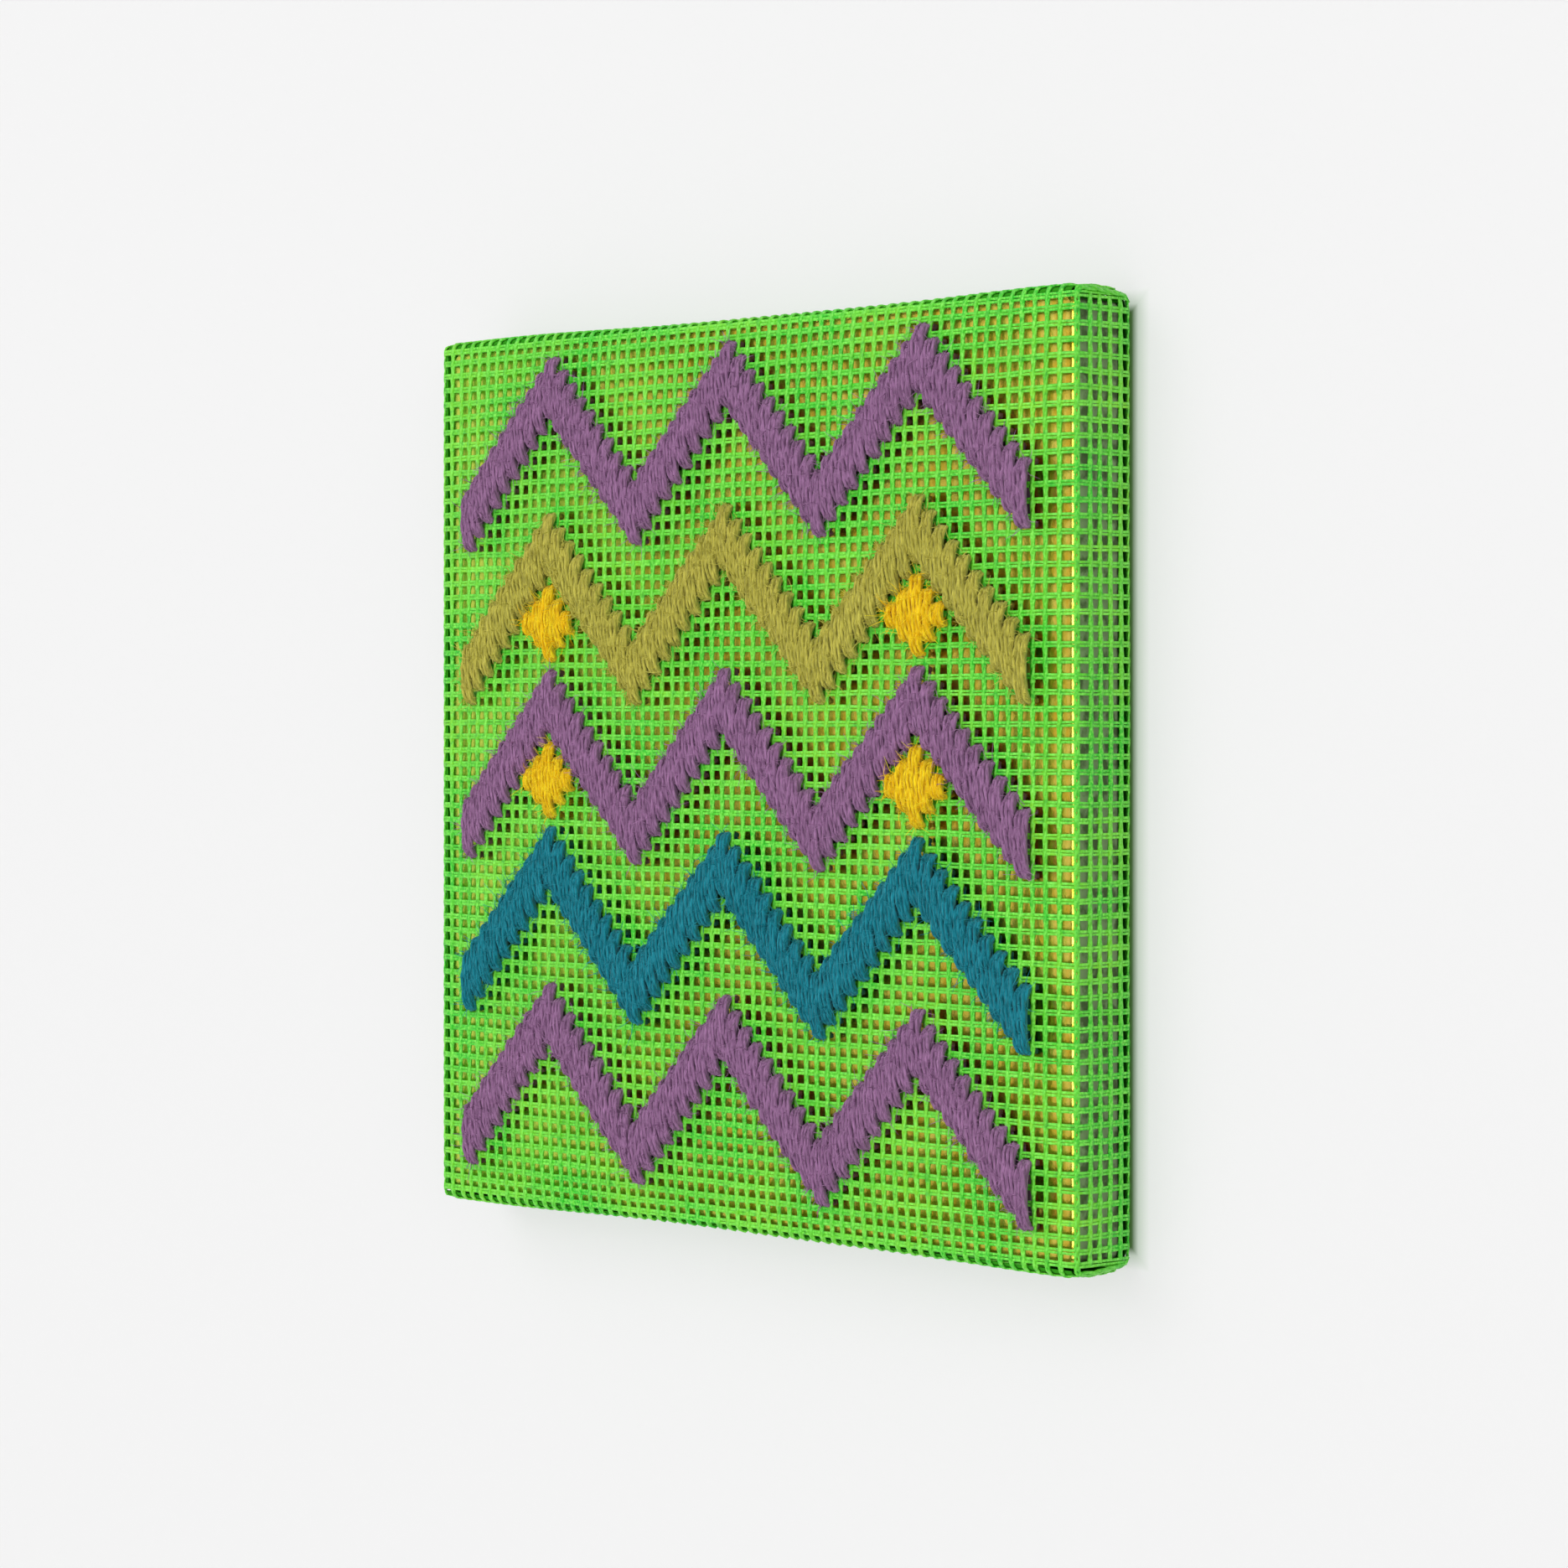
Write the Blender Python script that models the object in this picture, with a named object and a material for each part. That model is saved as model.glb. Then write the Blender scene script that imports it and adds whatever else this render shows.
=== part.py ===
"""Needlepoint panel: painted mesh canvas stretched over a thin gold board, stitched in wool.

The origin is the middle of the board's back. +Z is up, +X is right, and the stitched face
looks along -Y. The canvas is one sheet, drawn over the board's edges and turned onto its back.
"""

import math

import bmesh
import bpy

MM = 0.001

# Board, square, with its back on the plane Y = 0. The hem presses the back's edges a little
# lower, which leaves a flat middle, clear of the hem, for a hook or a mounting strip
BOARD_SIDE = 152.4 * MM
BOARD_DEPTH = 10.5 * MM
BOARD_CORNER = 2.2 * MM
BOARD_EDGE = 0.8 * MM
HANGING_MARGIN = 1.0 * MM
PRESSED = 0.2 * MM

# Canvas, drawn tight at the edges and lifted in the middle by the yarn behind it
GAP = 0.3 * MM
CLOTH = 1.2 * MM
HALF = BOARD_SIDE / 2 + GAP + CLOTH
FRONT = -(BOARD_DEPTH + GAP + CLOTH)
BACK = GAP + CLOTH
CROWN = 1.5 * MM
CROWN_POWER = 6
RIPPLE = 0.2 * MM
RIPPLES_ACROSS = 3.4
RIPPLES_UP = 2.6
BEND = 1.6 * MM
HEM = 15.0 * MM
CORNER_FRONT = 1.7 * MM
CORNER_BACK = 3.2 * MM
SLACK = 0.3 * MM

# Folded flap that lies on the top and bottom walls beside each corner
FLAP_REACH = 10.5 * MM
FLAP_RISE = 0.6 * MM
FLAP_EDGE = 1.2 * MM

# Spacing of the points that shape the canvas
MIDDLE_STEPS = 5
CORNER_ZONE = 12.0 * MM
CORNER_SHARES = (0.35, 0.68, 0.9, 1.0)
BEND_ANGLES = (30, 60, 90)
WALL_STEPS = 3

# Mesh of the canvas: threads across the face, so holes lie on whole multiples of PITCH
THREADS = 62
PITCH = 2 * HALF / THREADS

# Satin stitches, upright, each over four threads, in chevron rows
STITCH_ROWS = 4
STITCH_BULGE = 0.7 * MM
CREST = 1.9 * MM
VALLEY = 1.35 * MM
END_SHARE = 0.6
SECTION_STEPS = 4
SECTION_POWER = 0.6
CHEVRON_RISE = 9
CHEVRON_REACH = 27
CHEVRON_SPACING = 11
CHEVRON_LOWEST = -28
CHEVRON_COLOURS = ("purple", "teal", "purple", "olive", "purple")
DIAMOND_LENGTHS = (1, 3, 5, 3, 1)
DIAMOND_COLUMNS = (-18, 18)
DIAMOND_ROWS_BETWEEN = (1, 2)

GREEN_CANVAS = (0.08, 0.62, 0.06)
GOLD = (0.80, 0.55, 0.12)
WOOL = {
    "purple": (0.27, 0.11, 0.29),
    "olive": (0.40, 0.34, 0.05),
    "teal": (0.01, 0.20, 0.28),
    "yellow": (0.95, 0.50, 0.01),
}


def clear_scene():
    for old in list(bpy.data.objects):
        bpy.data.objects.remove(old)


def material(name, colour, roughness, metallic=0.0):
    made = bpy.data.materials.new(name)
    made.use_nodes = True
    shader = made.node_tree.nodes["Principled BSDF"]
    shader.inputs["Base Color"].default_value = (*colour, 1.0)
    shader.inputs["Roughness"].default_value = roughness
    shader.inputs["Metallic"].default_value = metallic
    return made


def finished(name, shape, finish, sharp_angle):
    """Turns a closed bmesh into a named object with its normals facing out."""
    bmesh.ops.recalc_face_normals(shape, faces=shape.faces)
    mesh = bpy.data.meshes.new(name)
    shape.to_mesh(mesh)
    shape.free()
    mesh.materials.append(finish)
    mesh.shade_smooth()
    mesh.set_sharp_from_angle(angle=math.radians(sharp_angle))
    made = bpy.data.objects.new(name, mesh)
    bpy.context.collection.objects.link(made)
    return made


def crown(x, z):
    """How far the canvas face stands in front of its own edges at a point."""
    across = 1 - min(abs(x) / HALF, 1) ** CROWN_POWER
    up = 1 - min(abs(z) / HALF, 1) ** CROWN_POWER
    ripple = RIPPLE * math.sin(RIPPLES_ACROSS * x / HALF + 1) * math.sin(RIPPLES_UP * z / HALF + 2)
    return (CROWN + ripple) * across * up


def grid_lines():
    """Places from -1 to 1 where the canvas has points, closer together near its corners."""
    middle = HALF - CORNER_ZONE
    inner = [middle * step / MIDDLE_STEPS for step in range(MIDDLE_STEPS + 1)]
    outer = [middle + CORNER_ZONE * share for share in CORNER_SHARES]
    right = [place / HALF for place in inner + outer]
    return [-place for place in reversed(right[1:])] + right


def rounded(u, v, half, radius):
    """Moves a point of a square's edge onto the same square with rounded corners."""
    x = u * half
    z = v * half
    core = half - radius
    core_x = max(-core, min(core, x))
    core_z = max(-core, min(core, z))
    reach = math.hypot(x - core_x, z - core_z)
    if x == core_x or z == core_z:
        return x, z
    return core_x + (x - core_x) * radius / reach, core_z + (z - core_z) * radius / reach


def slack(along):
    """How far a side wall stands off, uneven along its length and none at the corners."""
    return SLACK * (1 - along ** 4) * (0.6 + 0.4 * math.sin(7 * along + 0.5))


def flap(u, v, depth_share):
    """Extra height of the folded corner flap on the top and bottom walls."""
    if abs(v) < 1:
        return 0.0
    from_corner = (1 - abs(u)) * HALF
    inside = (FLAP_REACH * depth_share - from_corner) / FLAP_EDGE
    return FLAP_RISE * max(0.0, min(1.0, inside))


def perimeter(places):
    """The edge of the grid as (u, v) pairs, once round."""
    last = len(places) - 1
    bottom = [(places[i], places[0]) for i in range(last)]
    right = [(places[last], places[j]) for j in range(last)]
    top = [(places[i], places[last]) for i in range(last, 0, -1)]
    left = [(places[0], places[j]) for j in range(last, 0, -1)]
    return bottom + right + top + left


def depth_share(y):
    """0 at the front edge of a wall and 1 at its back edge."""
    return max(0.0, min(1.0, (y - FRONT) / (BACK - FRONT)))


def wall_ring(shape, places, inset, y, inner):
    """One loop of points round the canvas at depth y."""
    share = depth_share(y)
    radius = CORNER_FRONT + (CORNER_BACK - CORNER_FRONT) * share
    if inner:
        radius -= CLOTH
    loop = []
    for u, v in perimeter(places):
        x, z = rounded(u, v, HALF - inset, radius)
        lift = 0.0 if inner else flap(u, v, share)
        if abs(v) == 1:
            z += math.copysign(slack(u) + lift, v)
        if abs(u) == 1:
            x += math.copysign(slack(v), u)
        loop.append(shape.verts.new((x, y, z)))
    return loop


def wall_profile(cloth):
    """(inset, depth) of each loop, from the front bend over the wall to the hem's edge."""
    bend = BEND - cloth
    profile = []
    for angle in BEND_ANGLES:
        turn = math.radians(angle)
        profile.append((BEND - bend * math.sin(turn), FRONT + BEND - bend * math.cos(turn)))
    wall_front = FRONT + BEND
    wall_back = BACK - BEND
    for step in range(1, WALL_STEPS):
        profile.append((cloth, wall_front + (wall_back - wall_front) * step / WALL_STEPS))
    for angle in (0,) + BEND_ANGLES:
        turn = math.radians(angle)
        profile.append((BEND - bend * math.cos(turn), wall_back + bend * math.sin(turn)))
    return profile


def hem_ring(shape, places, y):
    """The loop at the hem's cut edge, on the back."""
    loop = []
    for u, v in perimeter(places):
        loop.append(shape.verts.new((u * (HALF - HEM), y, v * (HALF - HEM))))
    return loop


def bridge(shape, one, other):
    """Joins two loops with the same number of points by a ring of faces."""
    for i in range(len(one)):
        after = (i + 1) % len(one)
        shape.faces.new((one[i], one[after], other[after], other[i]))


def canvas_skin(shape, places, cloth):
    """The canvas's outer face (cloth 0) or inner face. Returns its loop at the hem's edge."""
    inner = cloth > 0
    face_half = HALF - BEND
    last = len(places) - 1
    points = []
    for i, u in enumerate(places):
        column = []
        for j, v in enumerate(places):
            x = u * face_half
            z = v * face_half
            if i in (0, last) or j in (0, last):
                x, z = rounded(u, v, face_half, CORNER_FRONT - CLOTH)
            column.append(shape.verts.new((x, FRONT + cloth - crown(x, z), z)))
        points.append(column)
    for i in range(last):
        for j in range(last):
            corners = (points[i][j], points[i + 1][j], points[i + 1][j + 1], points[i][j + 1])
            shape.faces.new(corners)
    border = [points[i][0] for i in range(last)]
    border += [points[last][j] for j in range(last)]
    border += [points[i][last] for i in range(last, 0, -1)]
    border += [points[0][j] for j in range(last, 0, -1)]
    loops = [border]
    for inset, y in wall_profile(cloth):
        loops.append(wall_ring(shape, places, inset, y, inner))
    loops.append(hem_ring(shape, places, BACK - cloth))
    for one, other in zip(loops, loops[1:]):
        bridge(shape, one, other)
    return loops[-1]


def canvas():
    shape = bmesh.new()
    places = grid_lines()
    outer = canvas_skin(shape, places, 0.0)
    inner = canvas_skin(shape, places, CLOTH)
    bridge(shape, outer, inner)
    finish = material("painted_canvas", GREEN_CANVAS, 0.7)
    finished("canvas", shape, finish, 50)


def flat_middle(shape, back):
    """Replaces the board's back by a square on Y = 0 and the slightly lower rim round it."""
    outer = list(back.verts)
    shape.faces.remove(back)
    half = HALF - HEM - HANGING_MARGIN
    corners = {}
    for side, up in ((-1, -1), (-1, 1), (1, 1), (1, -1)):
        corners[side, up] = shape.verts.new((side * half, 0.0, up * half))
    for one, after in zip(outer, outer[1:] + outer[:1]):
        near = corners[math.copysign(1, one.co.x), math.copysign(1, one.co.z)]
        beyond = corners[math.copysign(1, after.co.x), math.copysign(1, after.co.z)]
        if near is beyond:
            shape.faces.new((one, after, near))
        else:
            shape.faces.new((one, after, beyond, near))
    shape.faces.new(list(corners.values()))


def board():
    shape = bmesh.new()
    bmesh.ops.create_cube(shape, size=1.0)
    for point in shape.verts:
        point.co.x *= BOARD_SIDE
        point.co.z *= BOARD_SIDE
        point.co.y = (point.co.y - 0.5) * (BOARD_DEPTH - PRESSED) - PRESSED
    upright = [e for e in shape.edges if abs(e.verts[0].co.y - e.verts[1].co.y) > BOARD_DEPTH / 2]
    bmesh.ops.bevel(
        shape, geom=upright, offset=BOARD_CORNER, segments=4, profile=0.5, affect="EDGES"
    )
    rims = [e for e in shape.edges if abs(e.verts[0].co.y - e.verts[1].co.y) < BOARD_EDGE]
    bmesh.ops.bevel(shape, geom=rims, offset=BOARD_EDGE, segments=2, profile=0.5, affect="EDGES")
    shape.normal_update()
    flat_middle(shape, max(shape.faces, key=lambda face: face.calc_center_median().y))
    finished("gold_board", shape, material("gold", GOLD, 0.2, 1.0), 35)


def chevron(column):
    """Rows by which a chevron has climbed at a column: a peak at 0 and at each whole wave."""
    wave = 2 * CHEVRON_RISE
    from_peak = (column + CHEVRON_RISE) % wave - CHEVRON_RISE
    return CHEVRON_RISE - abs(from_peak)


def section(shape, x, low, high, height):
    """One arched slice of satin stitch, from z = low to z = high."""
    middle = (low + high) / 2
    reach = (high - low) / 2 + STITCH_BULGE
    slice_points = []
    for step in range(SECTION_STEPS + 1):
        turn = math.pi * step / SECTION_STEPS
        z = middle - reach * math.cos(turn)
        rise = height * max(0.0, math.sin(turn)) ** SECTION_POWER
        y = FRONT - crown(x, z) - GAP - rise
        slice_points.append(shape.verts.new((x, y, z)))
    return slice_points


def needlework(name, stitches, colour):
    """A run of side by side stitches, given as (column, low row, high row), as one ridged solid."""
    shape = bmesh.new()
    first = stitches[0]
    last = stitches[-1]
    edge = PITCH / 2
    slices = [
        section(
            shape, first[0] * PITCH - edge, first[1] * PITCH, first[2] * PITCH, CREST * END_SHARE
        )
    ]
    for stitch, after in zip(stitches, stitches[1:] + [None]):
        column, low, high = stitch
        slices.append(section(shape, column * PITCH, low * PITCH, high * PITCH, CREST))
        if after:
            valley_low = (low + after[1]) / 2 * PITCH
            valley_high = (high + after[2]) / 2 * PITCH
            slices.append(
                section(shape, column * PITCH + edge, valley_low, valley_high, VALLEY)
            )
    slices.append(
        section(shape, last[0] * PITCH + edge, last[1] * PITCH, last[2] * PITCH, CREST * END_SHARE)
    )
    for one, other in zip(slices, slices[1:]):
        bridge(shape, one, other)
    shape.faces.new(slices[0])
    shape.faces.new(slices[-1])
    finished(name, shape, material(name + "_wool", WOOL[colour], 0.95), 60)


def chevrons():
    for number, colour in enumerate(CHEVRON_COLOURS):
        base = CHEVRON_LOWEST + number * CHEVRON_SPACING
        stitches = []
        for column in range(-CHEVRON_REACH, CHEVRON_REACH + 1):
            low = base + chevron(column)
            stitches.append((column, low, low + STITCH_ROWS))
        needlework(f"chevron_{number + 1}_{colour}", stitches, colour)


def diamonds():
    bare_rows = CHEVRON_SPACING - STITCH_ROWS
    longest = max(DIAMOND_LENGTHS)
    reach = len(DIAMOND_LENGTHS) // 2
    for gap_number in DIAMOND_ROWS_BETWEEN:
        base = CHEVRON_LOWEST + gap_number * CHEVRON_SPACING + STITCH_ROWS + CHEVRON_RISE
        middle = base + bare_rows / 2
        for side, centre in zip(("left", "right"), DIAMOND_COLUMNS):
            stitches = []
            for offset, length in zip(range(-reach, reach + 1), DIAMOND_LENGTHS):
                low = round(middle - longest / 2) + (longest - length) // 2
                stitches.append((centre + offset, low, low + length))
            needlework(f"diamond_{gap_number}_{side}", stitches, "yellow")


clear_scene()
board()
canvas()
chevrons()
diamonds()
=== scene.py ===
"""Looks of the needlepoint panel: woven threads, plied wool and the gold board behind them."""

import math

import bpy
import numpy as np
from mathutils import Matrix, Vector


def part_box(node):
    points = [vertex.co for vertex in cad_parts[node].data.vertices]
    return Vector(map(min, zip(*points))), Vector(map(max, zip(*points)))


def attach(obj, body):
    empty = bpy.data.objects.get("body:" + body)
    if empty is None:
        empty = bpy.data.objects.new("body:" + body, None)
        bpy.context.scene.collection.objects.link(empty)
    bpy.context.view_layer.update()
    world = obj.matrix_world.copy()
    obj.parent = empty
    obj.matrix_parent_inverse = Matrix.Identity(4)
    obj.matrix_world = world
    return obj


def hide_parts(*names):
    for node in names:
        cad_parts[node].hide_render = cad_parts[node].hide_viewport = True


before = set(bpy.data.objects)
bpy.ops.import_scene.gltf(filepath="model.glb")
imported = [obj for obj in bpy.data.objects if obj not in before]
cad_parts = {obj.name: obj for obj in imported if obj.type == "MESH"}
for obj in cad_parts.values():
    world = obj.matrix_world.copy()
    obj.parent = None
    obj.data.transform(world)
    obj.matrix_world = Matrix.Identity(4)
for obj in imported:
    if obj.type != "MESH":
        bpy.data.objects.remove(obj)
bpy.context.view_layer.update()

MM = 0.001
BODY = "root"

# The board's box, read from the frame, and the cloth over it
board_low, board_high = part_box("gold_board")
GAP = 0.3 * MM
CLOTH = 1.2 * MM
BOARD_HALF = board_high[0]
HALF = BOARD_HALF + GAP + CLOTH
FRONT = board_low[1] - GAP - CLOTH
BACK = board_high[1] + GAP + CLOTH
THREADS = 62
PITCH = 2 * HALF / THREADS

# Form of the canvas, as in the solid
CROWN = 1.5 * MM
CROWN_POWER = 6
RIPPLE = 0.2 * MM
RIPPLES_ACROSS = 3.4
RIPPLES_UP = 2.6
BEND = 1.6 * MM
HEM = 15.0 * MM
CORNER_FRONT = 1.7 * MM
CORNER_BACK = 3.2 * MM
SLACK = 0.3 * MM
FLAP_REACH = 10.5 * MM
FLAP_LIFT = 0.5 * MM
FLAP_EDGE = 2.5 * MM

# Stitching has pulled the top and bottom walls in: how far, how far right of the middle, its reach
WAIST_TOP = (1.0 * MM, 14 * MM, 44 * MM)
WAIST_BOTTOM = (1.1 * MM, 2 * MM, 52 * MM)

# The sheet's middle surface, and lengths along it from the middle of the face to the cut edge
MID_HALF = HALF - CLOTH / 2
MID_FRONT = FRONT + CLOTH / 2
MID_BACK = BACK - CLOTH / 2
TURN = BEND - CLOTH / 2
FLAT = HALF - BEND
WALL = MID_BACK - MID_FRONT - 2 * TURN
ARC = TURN * math.pi / 2
WALL_START = FLAT + ARC
WALL_END = WALL_START + WALL
HEM_START = WALL_END + ARC
CUT_EDGE = HEM_START + HEM - BEND

# Threads of the canvas: pairs of strands, which upright ones twist round each level one
WARP_WIDE = 0.26 * MM
WARP_DEEP = 0.22 * MM
WARP_SWAY = 0.2 * MM
WARP_LIFT = 0.09 * MM
WARP_STEPS = 4
WARP_BACK_STEPS = 2
WEFT_WIDE = 0.31 * MM
WEFT_DEEP = 0.18 * MM
WEFT_APART = 0.26 * MM
THREAD_LIFT = 0.4 * MM
HEM_LIFT = 0.2 * MM
THREAD_SIDES = 4
CLOSEST_STEPS = 0.15 * MM

# How far round a rounded corner the threads of the walls go, in radians
WARP_ROUNDS = 0.6
WEFT_ROUNDS = 0.25

# Unevenness of the threads. WARP_LEAN turns a pair's twist, and WARP_SPREADS widens its strands
# where they cross a level thread
WARP_LEAN = 0.12
WARP_SPREADS = 0.9
WARP_UNEVEN = 0.09
WARP_SWELLS = (0.8, 1.25)
WEFT_UNEVEN = 0.08
WEFT_SWELLS = (0.85, 1.2)
WEFT_RIPPLE = 0.03 * MM
WEFT_RIPPLE_LONG = 9 * MM
WANDER = 0.11 * MM
WANDER_LONG = 34 * MM
WANDER_FADES = 4 * MM
FRAYED_MM = (-0.5, 0.3)

# Paint thickens the threads, but less and less from one of these places to the other, rightward
PAINT_THINS = (38 * MM, 54 * MM)
PAINT_THICKENS = 1.13

# Stretching draws the upright threads out over the left and right bends, and the level ones in:
# how far outward, how far from the middle of the sheet it is most, and its reach
DRAWN_SIDES = (0.55 * MM, 76.9 * MM, 4.0 * MM)
DRAWN_TOP = (-1.0 * MM, 78.5 * MM, 2.8 * MM)
DRAWN_BOTTOM = (-1.2 * MM, 78.5 * MM, 5.0 * MM)

# Paint and glue that have filled holes of the mesh, in patches round the front bends, and the
# folded layers of the corners, plus a near-black sheet in the back bends that is a painted shadow.
# Each lies between two distances along the sheet, from the middle of the face, and two across it. A
# lap is on the top or bottom wall, a tuck on the left or right one. Laps, tucks and the top and
# bottom patches are darkened as painted shade
FILM_DEEP = 0.1 * MM
FILM_STEP = 2.0 * MM
FILM_ROWS = 8
FILM_LIFT = 0.1 * MM
WHOLE_EDGE = (-FLAT, FLAT)
LEFT_FILM = (76.25 * MM, 81 * MM)
TOP_AND_BOTTOM_FILM = (76.4 * MM, 79 * MM)
BACK_SHADOW_SHEET = (88.4 * MM, 92.5 * MM)
BACK_SHADOW_SHEET_ACROSS = (-76.5 * MM, 76.5 * MM)
LAP = (79 * MM, 88 * MM)
LAP_ACROSS = (67 * MM, 76.9 * MM)
LAP_LIFT = -0.05 * MM
TUCK = (78.2 * MM, 91 * MM)
TUCK_ACROSS = (75.3 * MM, 79.0 * MM)
TUCK_LIFT = -0.7 * MM

# Where the board's gold gives way, at the top, the bottom and the left, to a dark green border that
# is painted shade, and over what width
GOLD_ENDS_AT_PAINTED_SHADE = 75.8 * MM
PAINTED_SHADE_FADE = 0.3 * MM

# Satin stitches of three two-ply strands. Those of the chevrons go over four threads
CREST = 1.9 * MM
STITCH_BULGE = 1.12 * MM
STITCH_SINKS = 0.9 * MM
STITCH_ROWS = 4
STRANDS = 3
STRAND_APART = 0.84 * MM
STRAND_TAPER = 0.25
PLY_R = 0.36 * MM
PLY_OFFSET = 0.24 * MM
PLY_TURN = 7.5 * MM
STITCH_STEPS = 12
PLY_SIDES = 5
CORE_WIDE = 1.15 * MM
CORE_DEEP = 0.62 * MM
CORE_BEHIND = 0.45 * MM
CORE_STEPS = 8
CORE_SIDES = 6
PLY_UNEVEN = 0.07

# How strands differ in height, in drift along the stitch and in place across it
STRAND_HEIGHTS_MM = (-0.16, 0.06)
STRAND_DRIFTS_MM = (-0.14, 0.14)
STRAND_SHIFTS_MM = (-0.06, 0.06)

# Yarn behind the canvas, which keeps clear of the board
YARN_WIDE = 0.95 * MM
YARN_DEEP = 0.28 * MM
YARN_DROP = 1.05 * MM
YARN_CLEAR = 0.35 * MM
YARN_STEPS = 6

# The pattern, in columns and rows of threads from the middle
CHEVRON_RISE = 9
CHEVRON_REACH = 27
CHEVRON_SPACING = 11
CHEVRON_LOWEST = -28
CHEVRON_COLOURS = ("purple", "teal", "purple", "olive", "purple")
DIAMOND_LENGTHS = (1, 3, 5, 3, 1)
DIAMOND_COLUMNS = (-18, 18)
DIAMOND_ROWS_BETWEEN = (1, 2)

# Loose fibres: how far across a stitch and at how many places along it they start, how they lean,
# how long they are, and how thick at the root, the middle and the tip
HAIRS_PER_STITCH = 54
HAIR_SPREAD = 1.3
HAIR_PLACES = 9
HAIR_LEANS = (0.9, 0.5, 0.9)
HAIR_FORWARD = 0.5
HAIR_START = 0.5 * MM
HAIR_LENGTHS_MM = (0.6, 2.2)
HAIR_CURL = 0.4
HAIR_R = 0.05 * MM
HAIR_THINS = (1.2, 1.0, 0.5)
HAIR_ACROSS = (0.31, 0.17, 0.93)

WOOL = {
    "purple": (0.285, 0.135, 0.275),
    "olive": (0.45, 0.41, 0.06),
    "teal": (0.0, 0.20, 0.26),
    "yellow": (1.0, 0.55, 0.0),
}

# The stage wall by distance from the panel's middle: where its dark paint, a painted shadow, ends,
# where its glow, painted light on a wall that is no lamp, rises in two steps and by how much, and
# where its green tint, painted light bounced off the canvas, fades
SHADE_ENDS = (76.0 * MM, 77.2 * MM)
NEAR_PAINTED_LIGHT = (76.2 * MM, 77.5 * MM)
NEAR_PAINTED_LIGHT_RISE = 0.42
FAR_PAINTED_LIGHT = (77.5 * MM, 79.8 * MM)
FAR_PAINTED_LIGHT_RISE = 0.14
BOUNCE_TINT_FADES = (76 * MM, 80 * MM)

# Camera, from the photograph's perspective
IMAGE_SIDE = 1871
FOCAL_PX = 5028
SENSOR_MM = 36
HORIZON_PX = 848
CAMERA_YAW = math.radians(46.02)
CAMERA_FROM_FACE = (3.3293, -3.1368, 0.0702)

rng = np.random.default_rng(7)


def crown(x, z):
    """How far the canvas face stands in front of its own edges at a point."""
    across = 1 - np.minimum(np.abs(x) / HALF, 1) ** CROWN_POWER
    up = 1 - np.minimum(np.abs(z) / HALF, 1) ** CROWN_POWER
    ripple = RIPPLE * np.sin(RIPPLES_ACROSS * x / HALF + 1) * np.sin(RIPPLES_UP * z / HALF + 2)
    return (CROWN + ripple) * across * up


def slack(share):
    """How far a side wall stands off along its length, and none at the corners."""
    share = np.clip(share, -1, 1)
    return SLACK * (1 - share ** 4) * (0.6 + 0.4 * np.sin(7 * share + 0.5))


def fold(distance):
    """Where a distance along the sheet comes to: (outward place, depth, turn of its normal)."""
    first = np.clip((distance - FLAT) / TURN, 0, math.pi / 2)
    wall = np.clip(distance - WALL_START, 0, WALL)
    second = np.clip((distance - WALL_END) / TURN, 0, math.pi / 2)
    hem = np.maximum(distance - HEM_START, 0)
    out = np.minimum(distance, FLAT) + TURN * np.sin(first) - TURN * (1 - np.cos(second)) - hem
    depth = MID_FRONT + TURN * (1 - np.cos(first)) + wall + TURN * np.sin(second)
    return out, depth, first + second


def depth_share(depth):
    return np.clip((depth - MID_FRONT) / (MID_BACK - MID_FRONT), 0, 1)


def corner_radius(share):
    """Radius of the sheet's corners, which are rounder towards the back."""
    return CORNER_FRONT + (CORNER_BACK - CORNER_FRONT) * share - CLOTH / 2


def sheet_points(along, across, lift, folds_sideways):
    """Points of the sheet and their normals.

    along folds over the board's edges and across runs beside the edge. They are X and Z where
    folds_sideways is true, and Z and X otherwise. lift is the height over the middle surface.
    """
    along, across, lift = np.broadcast_arrays(along, across, lift)
    out, depth, turn = fold(np.abs(along))
    radius = corner_radius(depth_share(depth))
    straight = MID_HALF - radius
    corner = np.clip((np.abs(across) - straight) / radius, 0, math.pi / 2)
    beyond = np.maximum(np.abs(across) - straight - radius * math.pi / 2, 0)
    on_hem = np.maximum(np.abs(along) - HEM_START, 0)
    hold = np.where(turn < math.pi / 2, np.sin(turn), np.clip(1 - on_hem / (5 * MM), 0, 1))
    out = out - hold * (radius * (1 - np.cos(corner)) + beyond)
    edgewise = np.minimum(np.abs(across), straight) + radius * np.sin(corner)
    face_edge, face_depth, face_turn = fold(np.minimum(np.abs(across), WALL_START))
    edgewise = face_edge * (1 - hold) + edgewise * hold
    depth = depth + (face_depth - MID_FRONT) * np.maximum(np.cos(turn), 0)
    lean = corner * hold
    face_turn = face_turn * np.maximum(np.cos(turn), 0)
    normal_out = np.sin(turn) * np.cos(lean)
    normal_edge = np.sin(turn) * np.sin(lean) + np.sin(face_turn)
    normal_depth = -np.cos(turn) * np.cos(face_turn)
    depth = depth - crown(out, edgewise) * np.maximum(np.cos(turn), 0)
    out = out + slack(across / HALF) * np.sin(turn)
    sign_along = np.sign(along)
    sign_across = np.sign(across)
    first = sign_along * (out + lift * normal_out)
    second = sign_across * (edgewise + lift * normal_edge)
    deep = depth + lift * normal_depth
    normals = (sign_along * normal_out, normal_depth, sign_across * normal_edge)
    if folds_sideways:
        return np.stack((first, deep, second), -1), np.stack(normals, -1)
    return np.stack((second, deep, first), -1), np.stack(normals[::-1], -1)


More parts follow.
